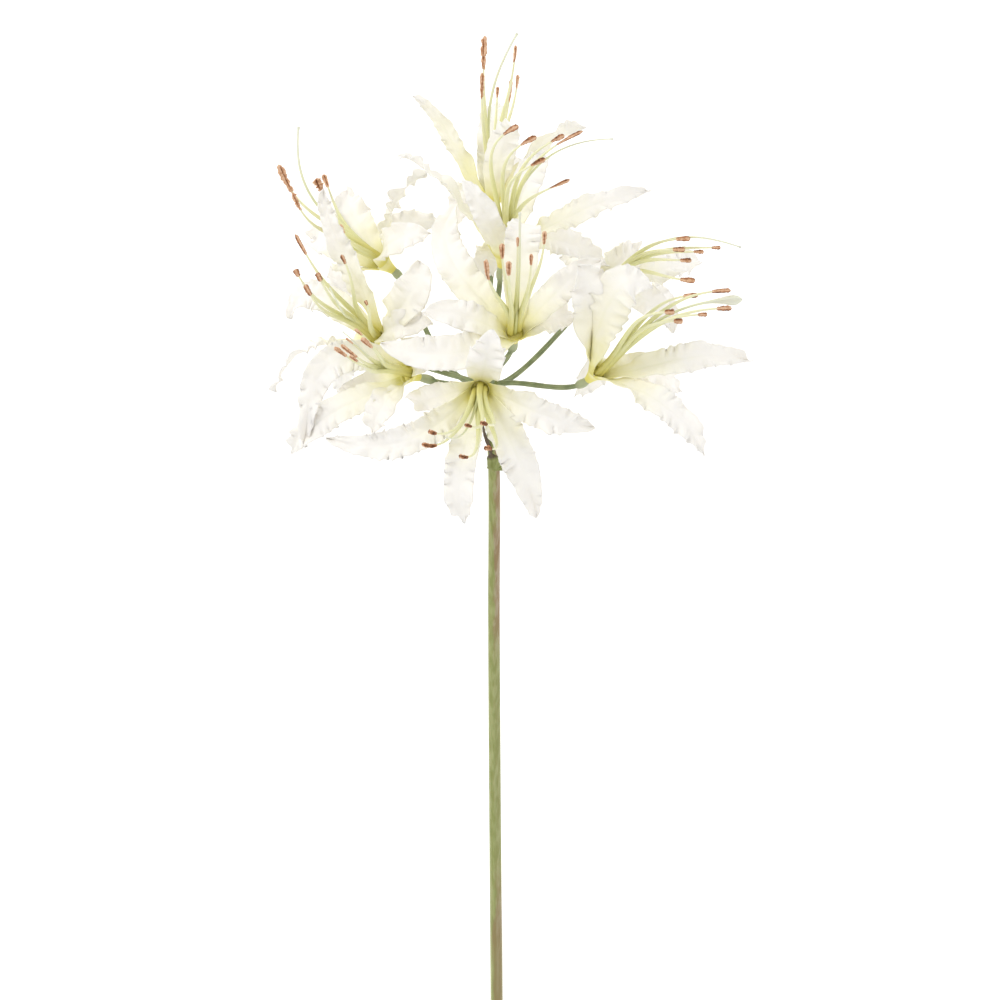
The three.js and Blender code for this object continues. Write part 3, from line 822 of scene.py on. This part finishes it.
zeroSide = Vector((0.3, 0.2, 1))  # a side that no floret faces, where angles are counted from


def rootDirections(floret):
    # Each petal leaves the throat between its own side of it and its place in an even round
    throat = Vector(floret["throat"])
    facing = unit(floret["facing"])
    first = facing.cross(zeroSide).normalized()
    second = facing.cross(first)
    angles = []
    for petal in floret["petals"]:
        aside = Vector(petal.get("via", petal["tip"])) - throat
        angles.append(math.atan2(aside.dot(second), aside.dot(first)))
    order = sorted(range(len(angles)), key=lambda i: angles[i])
    step = turn / len(order)
    sine = sum(math.sin(angles[i] - place * step) for place, i in enumerate(order))
    cosine = sum(math.cos(angles[i] - place * step) for place, i in enumerate(order))
    start = math.atan2(sine, cosine)
    outwards = []
    for i, own in enumerate(angles):
        astray = own - start - order.index(i) * step
        angle = own - petalShape["evenness"] * math.atan2(math.sin(astray), math.cos(astray))
        outwards.append(first * math.cos(angle) + second * math.sin(angle))
    return outwards


def petalRow(floret, petal, outward, count):
    shape = petalShape
    throat = Vector(floret["throat"])
    facing = unit(floret["facing"])
    tip = Vector(petal["tip"])
    length = (tip - throat).length
    bowed = throat + (tip - throat) * shape["bendAt"] + facing * (shape["bendRise"] * length)
    bend = Vector(petal["via"]) if "via" in petal else bowed
    root = throat - facing * shape["rootDepth"] + outward * shape["rootRadius"]
    mouth = shape["mouthRadius"] + shape["spread"] * length
    rise = throat + facing * (shape["rise"] * length) + outward * mouth
    return bezierRow((root, rise, bend, tip), count)


def aboveTable(height, soft):
    # Eases a height that would come out below the table to just above it
    lowest = floorHeight + petalShape["thickness"] / 2 + petalShape["clear"]
    over = (height - lowest) / soft
    return height if over > 12 else lowest + soft * math.log1p(math.exp(over))


def laidRow(row):
    # A petal that would pass through the table lies along it instead
    soft = petalShape["restSoft"]
    return tangentRow([Vector((place.x, place.y, aboveTable(place.z, soft))) for place, tangent in row])


def levelTurn(tangent, held):
    level = Vector((-tangent.y, tangent.x, 0)).normalized()
    if level.dot(held) < 0:
        level.negate()
    return math.atan2(held.cross(level).dot(tangent), held.dot(level))


def halfWidth(petal, share):
    shape = petalShape
    grown = smoothStep(share, shape["widensFrom"], shape["widestFrom"])
    strap = between(shape["rootWidth"], petal.get("width", shape["width"]), grown)
    tapersFrom = petal.get("tapersFrom", shape["tapersFrom"])
    beyond = max(share - tapersFrom, 0) / (1 - tapersFrom)
    return max(strap * (1 - beyond * beyond) ** shape["taperPower"], shape["tipWidth"]) / 2


def puffs(share, length, side, seed):
    # Rounded bulges with creases between them, uneven in length and height along an edge
    spot = share * length / petalShape["crinkleLength"]
    drift = 1.2 * noise.noise(Vector((spot * 0.55, seed * 3.7, side * 5.1)))
    bulge = abs(math.sin(math.pi * (spot + drift + seed * 0.37 + side * 0.21))) ** 0.85
    size = max(0.75 + 1.0 * noise.noise(Vector((spot * 0.6 + 9, seed * 2.3, side * 4.7))), 0.2)
    ripple = 0.3 * noise.noise(Vector((spot * 2.6, seed * 1.1, side * 2.9)))
    return (bulge * 2 - 1.2) * size + ripple


def edgeLift(across, share, length, phase, seed, crinkled):
    # How far the blade stands off its middle surface
    shape = petalShape
    far = abs(across)
    side = 1 if across > 0 else -1
    swell = smoothStep(share, shape["wavesFrom"], shape["wavesFull"])
    wave = math.sin(turn * shape["waves"] * share + phase + across * shape["edgeLag"])
    lift = swell * far**1.5 * (shape["channel"] + shape["ruffle"] * wave)
    billow = noise.noise(Vector((across * 1.4, share * length / shape["billowLength"], seed * 1.3)))
    lift += swell * shape["billow"] * billow
    # Crinkles start unevenly far in, grow towards the edges and are half as high at the tip
    fine = crinkled * smoothStep(share, shape["crinklesFrom"], shape["crinklesFull"])
    fine = fine * (1 - 0.5 * smoothStep(share, 0.88, 1.0))
    inward = 0.2 + 0.45 * noise.noise(Vector((share * length / 10, seed * 1.9, side * 3.1)))
    slant = share + 0.03 * (1 - far)
    reach = smoothStep(far, inward, shape["crinklesInto"])
    lift += fine * shape["crinkle"] * reach * puffs(slant, length, side, seed)
    small = noise.noise(Vector((across * 1.6 + seed, share * length / shape["creaseLength"], seed * 0.7)))
    lift += fine * shape["crease"] * math.sin(math.pi * min(far * 1.1, 1)) * small * 2
    fade = smoothStep(share, 0.08, 0.3) * (1 - 0.6 * smoothStep(share, 0.6, 0.9))
    lift -= shape["groove"] * fade * math.exp(-((across / shape["grooveWidth"]) ** 2))
    return lift


def edgeScallop(across, share, length, seed, crinkled):
    # How far the outline stands out beside each puff
    shape = petalShape
    side = 1 if across > 0 else -1
    along = share * length / shape["nibbleLength"]
    nibble = shape["nibble"] * noise.noise(Vector((along, seed * 2.9, 4.0 if across > 0 else 7.0)))
    ragged = crinkled * shape["scallop"] * (puffs(share, length, side, seed) + nibble)
    ragged = ragged * smoothStep(share, shape["scallopsFrom"], shape["crinklesFull"])
    ragged = ragged * (1 - smoothStep(share, shape["scallopsTo"], 1)) * across**2
    return math.copysign(ragged, across)


def throatCup(aside, share):
    # At the root the claw curls round the throat
    shape = petalShape
    radius = shape["rootRadius"] + shape["cupOpening"] * share
    return aside**2 / (2 * radius) * (1 - smoothStep(share, shape["cupFrom"], shape["cupTo"]))


def layPetal(blade, floret, petal, outward, phase, seed):
    shape = petalShape
    rows = shape["rows"]
    row = laidRow(petalRow(floret, petal, outward, rows))
    length = lengthOf(row)
    steps = carried(row, unit(floret["facing"]).cross(outward))
    place, tangent, held = steps[round(shape["levelAt"] * rows)]
    fullTurn = petal.get("level", shape["level"]) * levelTurn(tangent, held)
    crinkled = petal.get("crinkled", 1)
    marks = []
    for vertex in blade.data.vertices:
        across = vertex.co.x
        share = min(max((vertex.co.y + 1) / 2, 0), 1)
        place, tangent, held = steps[round(share * rows)]
        turned = fullTurn * smoothStep(share, shape["levelFrom"], shape["levelAt"])
        aside = Matrix.Rotation(turned, 3, tangent) @ held
        plain = across * halfWidth(petal, share)
        reach = plain + edgeScallop(across, share, length, seed, crinkled)
        lift = edgeLift(across, share, length, phase, seed, crinkled) + throatCup(plain, share)
        spot = place + aside * reach + tangent.cross(aside) * lift
        spot.z = aboveTable(spot.z, shape["edgeSoft"])
        vertex.co = (spot + crown) * millimetre
        marks.append((across, share * petal.get("glow", 1), seed))
    markVertices(blade, marks)


throatShape = {
    "sides": 24,
    # radius and height of each ring, up the outside, over the rim and down to the floor
    "profile": [
        (1.85, -9.0), (2.0, -8.0), (2.4, -6.6), (3.0, -5.0), (3.65, -3.6), (4.1, -2.4), (4.3, -1.9),
        (4.2, -1.75), (4.05, -1.9), (3.9, -2.4), (3.65, -3.0), (3.45, -3.4), (1.8, -3.5),
    ],
    "rimAt": 0.6,
    # how far along a petal its outside and its inside are coloured like
    "outsideTint": 0.14,
    "insideTint": 0.02,
}


def throatTube(floret, seed):
    # The short tube that the six petals grow from
    shape = throatShape
    profile = shape["profile"]
    lowest = profile[0][1]
    tube = ownCopy(throatBar, "throat")
    spin = Vector((0, 0, 1)).rotation_difference(unit(floret["facing"])).to_matrix()
    throat = Vector(floret["throat"])
    marks = []
    for vertex in tube.data.vertices:
        share, reach, angle = roundPlace(vertex)
        radius, height = profile[round(share * (len(profile) - 1))]
        spot = Vector((radius * reach * math.sin(angle), radius * reach * math.cos(angle), height))
        vertex.co = (throat + spin @ spot + crown) * millimetre
        outside = shape["outsideTint"] * smoothStep(height, lowest, 0)
        marks.append((1.0, outside if share < shape["rimAt"] else shape["insideTint"], seed))
    markVertices(tube, marks)
    return tube


selectOnly()
bpy.ops.mesh.primitive_grid_add(
    x_subdivisions=petalShape["columns"], y_subdivisions=petalShape["rows"], size=2,
)
flatBlade = bpy.context.object
flatBlade.name = "flatBlade"
throatBar = roundBar("throatBar", throatShape["sides"], len(throatShape["profile"]) - 1)

for number, (name, floret) in enumerate(florets.items()):
    outwards = rootDirections(floret)
    blades = []
    for i, petal in enumerate(floret["petals"]):
        blade = ownCopy(flatBlade, "blade")
        layPetal(blade, floret, petal, outwards[i], i * petalShape["phaseStep"], number * 6 + i)
        blades.append(blade)
    flower = joinAll(blades, "petals")
    thicken(flower, petalShape["thickness"] * millimetre)
    flower = joinAll([flower, throatTube(floret, number * 6)], "bloom_" + name)
    flower.data.materials.append(petalWhite)
    smoothFaces(flower)
    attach(flower, "root")
    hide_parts("petals_" + name)
bpy.data.objects.remove(flatBlade)
bpy.data.objects.remove(throatBar)
print("petals laid")


# Stamens: threads that curve out of the throat, each with its anther, and the style

threadShape = {
    "sides": 10,
    "rings": 44,
    "steps": 400,
    "root": 1.45,
    "tip": 0.42,
    "taperPower": 1.3,
    # six threads stand in a ring on the floor of the throat
    "ring": 2.2,
    "depth": 2.5,
    "rise": 0.52,
    "arrive": 0.42,
    "straight": 0.4,
    "intoAnther": 0.15,
}
antherShape = {
    "segments": 24,
    "rings": 34,
    "length": 7.6,
    "flatness": 0.8,
    "stoutness": 1.1,
    "neck": 0.62,
    "swing": 0.5,
    "slit": 0.5,
    "slitWidth": 0.28,
    "lumps": 0.22,
    "moreLumps": 0.2,
    # crusted with pollen
    "crusted": {"topBack": (0, 1), "leftBack": (0, 1, 2)},
    "crust": 0.75,
    # these florets' anthers show pale backs without a slit, on necks this wide
    "paleNecks": {
        "topFront": 0.45, "frontLow": 0.75, "rightBack": 0.7, "rightFront": 0.8, "leftMiddle": 0.75,
    },
    "paleSwing": 0.25,
}
styleShape = {
    "root": 0.85,
    "tip": 0.55,
    "taperPower": 0.8,
    "knob": 1.25,
    "knobFrom": 0.965,
    "flared": "rightFront",
    "flare": 2.3,
    "flareFrom": 0.7,
    "bluntFrom": 0.93,
    "lobes": 0.4,
}


def threadRow(floret, offset, end, sweep, count, bent=1):
    throat = Vector(floret["throat"])
    facing = unit(floret["facing"])
    length = (end - throat).length * bent
    root = throat - facing * threadShape["depth"] + offset
    rise = root + facing * (threadShape["rise"] * length)
    arrive = end - sweep * (threadShape["arrive"] * length)
    return bezierRow((root, rise, arrive, end), count)


def threadRadius(share, angle):
    return between(threadShape["root"], threadShape["tip"], share ** threadShape["taperPower"])


def styleRadius(share, angle, tip, flared):
    # A three-lobed knob ends the style. One flares out like a trumpet instead
    shape = styleShape
    slim = between(shape["root"], tip, share ** shape["taperPower"])
    end = smoothStep(share, shape["flareFrom"] if flared else shape["knobFrom"], 1.0)
    lobed = 1 + shape["lobes"] * end * math.cos(3 * angle + 0.6)
    wide = (shape["flare"] if flared else shape["knob"] * tip) * lobed
    past = max(share - shape["bluntFrom"], 0) / 0.07
    blunt = math.sqrt(max(1 - past**2, 0.02)) if flared else 1
    return between(slim, wide, end * end) * blunt


def slitDepth(angle, share):
    # How deep the slit down each face of an anther is, from 0 to 1
    sunk = math.exp(-((math.cos(angle) / antherShape["slitWidth"]) ** 2))
    return sunk * smoothStep(share, 0.08, 0.25) * (1 - smoothStep(share, 0.86, 0.97))


def slitAnther():
    # Two lobes with blunt ends, one millimetre wide and one long
    shape = antherShape
    selectOnly()
    bpy.ops.mesh.primitive_uv_sphere_add(segments=shape["segments"], ring_count=shape["rings"], radius=1)
    capsule = bpy.context.object
    capsule.name = "capsule"
    for vertex in capsule.data.vertices:
        x, y, z = vertex.co
        share = math.acos(min(max(-z, -1), 1)) / math.pi
        ends = min(share / 0.10, 1) ** 0.5 * min((1 - share) / 0.13, 1) ** 0.5
        angle = math.atan2(y, x)
        radius = 0.5 * ends * (1 - shape["slit"] * slitDepth(angle, share))
        flat = radius * shape["flatness"]
        vertex.co = Vector((radius * math.cos(angle), flat * math.sin(angle), share - 0.5))
    return capsule


def placeAnther(steps, start, wide, seed, crusted, paleNeck):
    # It stands in line with the end of its thread and bends with it
    shape = antherShape
    anther = ownCopy(capsule, "anther")
    neck = paleNeck or shape["neck"]
    swing = shape["paleSwing"] if paleNeck else shape["swing"]
    lumps = shape["lumps"] + shape["moreLumps"] * max(0.0, math.sin(seed * 1.9 + 0.4)) ** 2
    crust = shape["crust"] if crusted else lumps
    last = len(steps) - 1
    marks = []
    for vertex in anther.data.vertices:
        x, y, z = vertex.co
        place, tangent, held = steps[min(max(round(between(start, 1, z + 0.5) * last), 0), last)]
        roll = Matrix.Rotation(swing * math.sin(seed * 1.7), 3, tangent)
        across, up = roll @ tangent.cross(held), roll @ held
        lump = 1 + crust * noise.noise(Vector((x * 2.6 + seed, y * 2.6, z * 9)))
        lump += 0.5 * crust * noise.noise(Vector((x * 6 + seed, y * 6, z * 24)))
        angle = math.atan2(y, x)
        mark = 0.25 + abs(math.sin(angle)) ** 3 if paleNeck else 1 - slitDepth(angle, z + 0.5)
        marks.append((mark, z + 0.5, seed))
        thick = wide * lump * between(neck, 1.0, smoothStep(z, -0.45, 0.25))
        vertex.co = (place + (across * x + up * y) * thick + crown) * millimetre
    markVertices(anther, marks)
    return anther


threadBar = roundBar("threadBar", threadShape["sides"], threadShape["rings"])
capsule = slitAnther()

for number, (name, floret) in enumerate(florets.items()):
    throat = Vector(floret["throat"])
    facing = unit(floret["facing"])
    sweep = unit(floret["sweep"])
    crusted = antherShape["crusted"].get(name, ())
    paleNeck = antherShape["paleNecks"].get(name)
    rings, steps = threadShape["rings"], threadShape["steps"]
    parts = []
    for i, middle in enumerate(floret["anthers"]):
        seed = number * 7 + i
        middle = Vector(middle)
        long, wide = floret["antherSizes"][i]
        end = middle + sweep * (min(long, antherShape["length"]) / 2)
        aside = middle - throat
        outward = (aside - facing * aside.dot(facing)).normalized()
        bent = threadShape["straight"] if i == floret.get("straightThread") else 1
        whole = threadRow(floret, outward * threadShape["ring"], end, sweep, steps, bent)
        neck = 1 - long / lengthOf(whole)
        stop = neck + threadShape["intoAnther"] * (1 - neck)
        row = [whole[round(steps * stop * k / rings)] for k in range(rings + 1)]
        thread = ownCopy(threadBar, "thread")
        bendBar(thread, row, threadRadius, seed)
        thread.data.materials.append(threadYellowGreen)
        wide = wide * antherShape["stoutness"]
        held = carried(whole, skyOver(whole[0][1]))
        anther = placeAnther(held, neck, wide, seed, i in crusted, paleNeck)
        anther.data.materials.append(antherTerracotta)
        parts += [thread, anther]
    tip = floret.get("styleTip", styleShape["tip"])
    flared = name == styleShape["flared"]
    styleSweep = unit(floret.get("styleSweep", floret["sweep"]))
    row = threadRow(floret, Vector((0, 0, 0)), Vector(floret["style"]), styleSweep, rings)
    style = ownCopy(threadBar, "style")
    bendBar(style, row, lambda share, angle: styleRadius(share, angle, tip, flared), number * 7 + 6)
    style.data.materials.append(stylePaleGreen)
    parts.append(style)
    stamens = joinAll(parts, "threads_" + name)
    smoothFaces(stamens)
    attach(stamens, "root")
    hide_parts("stamens_" + name)
bpy.data.objects.remove(threadBar)
bpy.data.objects.remove(capsule)
print("stamens and styles set")


# Flower stalks, each swelling into its ovary

stalkShape = {
    "sides": 18,
    "rings": 70,
    "radius": 1.2,
    "foot": 0.5,
    "footEnd": 0.12,
    "leave": 12,
    "arrive": 14,
    "overlap": 0.7,
    "tube": 9,
    "ovary": 2.05,
    "ovaryEnd": 1.8,
    "ovaryLength": 7,
    "ridges": 0.07,
}
knobShape = {"centre": (-2, 6, 0), "radius": 5.2, "segments": 32, "rings": 20}


def stalkRadius(share, angle, number, swellFrom):
    shape = stalkShape
    slim = shape["radius"] * (1 + 0.04 * math.sin(share * 23 + number))
    slim += shape["foot"] * (1 - smoothStep(share, 0, shape["footEnd"]))
    swollen = math.sin(math.pi * min(max((share - swellFrom) / (1 - swellFrom), 0), 1) ** 0.8) ** 0.7
    ovary = between(slim, shape["ovary"], swollen) if share < 0.985 else shape["ovaryEnd"]
    ridge = 1 + shape["ridges"] * swollen * math.cos(3 * angle)
    return max(ovary, shape["ovaryEnd"] * smoothStep(share, swellFrom, 1)) * ridge


stalkBar = roundBar("stalkBar", stalkShape["sides"], stalkShape["rings"])
for number, (name, floret) in enumerate(florets.items()):
    shape = stalkShape
    seat = unit(floret["seat"])
    facing = unit(floret["facing"])
    start = Vector(knobShape["centre"]) + seat * (knobShape["radius"] - shape["overlap"])
    end = Vector(floret["throat"]) - facing * (shape["tube"] - shape["overlap"])
    leave = start + seat * (floret.get("leave", shape["leave"]) + shape["overlap"])
    arrive = end - facing * (shape["arrive"] + shape["overlap"])
    row = bezierRow((start, leave, arrive, end), shape["rings"])
    swellFrom = 1 - (shape["ovaryLength"] + shape["overlap"]) / lengthOf(row)
    stalk = ownCopy(stalkBar, "stalkFine_" + name)
    bendBar(stalk, row, lambda share, angle: stalkRadius(share, angle, number, swellFrom), number)
    stalk.data.materials.append(stalkGreyGreen)
    smoothFaces(stalk)
    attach(stalk, "root")
    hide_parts("stalk_" + name)
bpy.data.objects.remove(stalkBar)
print("stalks set")


# The stem, with its ring, what is left of the flower sheath, a nub and the knob that the stalks leave

stemShape = {
    "sides": 32,
    "rings": 300,
    "radius": 2.65,
    "flatSides": 8,
    "route": [(2, -333), (1.8, -290), (1.4, -240), (0.8, -165), (0.4, -95), (0.4, -29), (-1.5, 3)],
    "rise": [0, 0, 3, 17.5, 34, 50, 59],
    "ribs": 0.03,
}
ringShape = {"at": 0.829, "radius": 2.75, "thick": 0.6, "lean": 0.35, "around": 36, "section": 12}
sheathShape = {
    "route": [(0.4, -30.5, -9.6), (0.1, -26.5, -7.6), (-1.3, -22.5, -5), (-3.6, -15.5, -1.5), (-5, -9, 2)],
    # share of the length and radius
    "stations": [(0, 2.75), (0.1, 3.1), (0.3, 2.8), (0.42, 0.95), (0.65, 0.75), (1, 0.3)],
    "sides": 20,
    "rings": 48,
    "folds": 0.03,
    "shrivel": 0.22,
    "twist": 0.1,
}
nubShape = {
    "start": (0.4, -30.4, -9.6),
    "end": (4.3, -31, -8.6),
    "root": 1.1,
    "tip": 0.75,
    "sides": 14,
    "rings": 8,
}


def routePlace(points, share):
    # A smooth curve through the points, eased by the distance between them
    spot = share * (len(points) - 1)
    index = min(int(spot), len(points) - 2)
    weight = spot - index
    p1, p2 = points[index], points[index + 1]
    p0 = points[index - 1] if index > 0 else points[0] * 2 - points[1]
    p3 = points[index + 2] if index + 2 < len(points) else points[-1] * 2 - points[-2]
    before, middle, after = ((a - b).length ** 0.5 for a, b in ((p0, p1), (p1, p2), (p2, p3)))
    leave = ((p1 - p0) / before - (p2 - p0) / (before + middle) + (p2 - p1) / middle) * middle
    arrive = ((p2 - p1) / middle - (p3 - p1) / (middle + after) + (p3 - p2) / after) * middle
    cubic = (p1 - p2) * 2 + leave + arrive
    square = (p2 - p1) * 3 - leave * 2 - arrive
    return p1 + leave * weight + square * weight**2 + cubic * weight**3


def rowThrough(points, count):
    return tangentRow([routePlace(points, i / count) for i in range(count + 1)])


def stemRadius(share, angle):
    return stemShape["radius"] * (1 + stemShape["ribs"] * math.cos(9 * angle + 4 * share))


def sheathRadius(share, angle):
    # A sleeve round the stem that shrivels to a twisted thread
    shape = sheathShape
    for (low, first), (high, second) in zip(shape["stations"], shape["stations"][1:]):
        if share <= high:
            radius = between(first, second, smoothStep(share, low, high))
            break
    shrivelled = smoothStep(share, 0.28, 0.42)
    folds = shape["folds"] + shape["shrivel"] * shrivelled
    twist = shape["twist"] * shrivelled * math.sin(share * 70)
    return radius * (1 + folds * math.cos(3 * angle + share * 14) + twist)


def nubRadius(share, angle):
    return between(nubShape["root"], nubShape["tip"], share) * (1 + 0.15 * math.cos(2 * angle + 1))


def markWhole(piece, number):
    # For a part whose finish follows from its number alone
    markVertices(piece, [(0, 0, number)] * len(piece.data.vertices))


rest = floorHeight + stemShape["radius"] * math.cos(math.pi / stemShape["flatSides"])
points = [Vector((x, y, rest + rise)) for (x, y), rise in zip(stemShape["route"], stemShape["rise"])]
stemRow = rowThrough(points, stemShape["rings"])
stem = roundBar("stemFine", stemShape["sides"], stemShape["rings"])
bendBar(stem, stemRow, stemRadius, stemNumbers["stem"])

sheathRow = rowThrough([Vector(point) for point in sheathShape["route"]], sheathShape["rings"])
sheath = roundBar("sheath", sheathShape["sides"], sheathShape["rings"])
bendBar(sheath, sheathRow, sheathRadius, stemNumbers["sheath"])

# The uneven ring that the sheath grew from
selectOnly()
bpy.ops.mesh.primitive_torus_add(
    major_segments=ringShape["around"], minor_segments=ringShape["section"],
    major_radius=ringShape["radius"], minor_radius=ringShape["thick"],
)
ring = bpy.context.object
middle = routePlace(points, ringShape["at"])
onwards = (routePlace(points, ringShape["at"] + 0.01) - middle).normalized()
spin = Vector((0, 0, 1)).rotation_difference(onwards).to_matrix()
for vertex in ring.data.vertices:
    x, y, z = vertex.co
    angle = math.atan2(y, x)
    uneven = 1 + 0.05 * math.sin(3 * angle + 0.8) + 0.03 * math.sin(7 * angle)
    raised = ringShape["lean"] * math.sin(2 * angle + 0.5)
    vertex.co = onTable(middle + spin @ Vector((x * uneven, y * uneven, z + raised)))
markWhole(ring, stemNumbers["ring"])

nubStart, nubEnd = Vector(nubShape["start"]), Vector(nubShape["end"])
nubWay = (nubEnd - nubStart).normalized()
nubRow = [(nubStart.lerp(nubEnd, i / nubShape["rings"]), nubWay) for i in range(nubShape["rings"] + 1)]
nub = roundBar("nub", nubShape["sides"], nubShape["rings"])
bendBar(nub, nubRow, nubRadius, stemNumbers["nub"])

# The knob swells a little where each stalk leaves it
selectOnly()
bpy.ops.mesh.primitive_uv_sphere_add(
    segments=knobShape["segments"], ring_count=knobShape["rings"], radius=knobShape["radius"],
)
knob = bpy.context.object
seats = [unit(floret["seat"]) for floret in florets.values()]
for vertex in knob.data.vertices:
    way = vertex.co.normalized()
    lump = max(way.dot(seat) for seat in seats)
    swell = 0.35 * smoothStep(lump, 0.86, 0.97) - 0.25 * (1 - smoothStep(lump, 0.5, 0.8))
    vertex.co = onTable(Vector(knobShape["centre"]) + way * (knobShape["radius"] + swell))
markWhole(knob, stemNumbers["knob"])
stem = joinAll([stem, sheath, ring, nub, knob], "stemFine")
stem.data.materials.append(stemOlive)
smoothFaces(stem, 50)
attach(stem, "root")
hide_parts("stem")
print("stem set")


# Table, light and camera

tableLook = {"size": 30, "colour": (0.93, 0.93, 0.925), "glow": 0.45}

selectOnly()
bpy.ops.mesh.primitive_plane_add(size=tableLook["size"], location=(0, 0, 0))
table = bpy.context.object
table.name = "table"
tableWhite = newMaterial("tableWhite", {
    "Roughness": 0.9,
    "Base Color": (*tableLook["colour"], 1),
    "Emission Color": (1, 1, 1, 1),
    "Emission Strength": tableLook["glow"],
    "Specular IOR Level": 0.0,
})[0]
table.data.materials.append(tableWhite)

studio = {
    "sky": 0.77,
    "aim": (0, 0.05, 0.05),
    "lamps": [
        {"name": "keyLight", "place": (-1.3, 1.2, 1.5), "size": 0.7, "power": 14},
        {"name": "fillLight", "place": (1.4, -0.6, 2.0), "size": 1.8, "power": 9},
    ],
}
world = bpy.data.worlds.new("studio")
bpy.context.scene.world = world
world.use_nodes = True
world.node_tree.nodes["Background"].inputs[0].default_value = (1, 1, 1, 1)
world.node_tree.nodes["Background"].inputs[1].default_value = studio["sky"]

for lamp in studio["lamps"]:
    light = bpy.data.lights.new(lamp["name"], "AREA")
    light.shape = "DISK"
    light.size = lamp["size"]
    light.energy = lamp["power"]
    holder = bpy.data.objects.new(lamp["name"], light)
    bpy.context.scene.collection.objects.link(holder)
    holder.location = lamp["place"]
    holder.rotation_euler = (Vector(studio["aim"]) - holder.location).to_track_quat("-Z", "Y").to_euler()

# It looks straight down, with so much of the scene across the picture at this level
cameraView = {"across": 0.45, "height": 6.0, "level": 0.075, "aim": (-0.00337, 0.03836), "sensor": 36}
lens = bpy.data.cameras.new("camera")
lens.sensor_width = cameraView["sensor"]
lens.lens = cameraView["sensor"] * (cameraView["height"] - cameraView["level"]) / cameraView["across"]
lens.clip_start = 0.1
lens.clip_end = 60
camera = bpy.data.objects.new("camera", lens)
bpy.context.scene.collection.objects.link(camera)
camera.location = (*cameraView["aim"], cameraView["height"])
bpy.context.scene.camera = camera
bpy.context.scene.view_settings.view_transform = "Standard"
print("table, light and camera set")
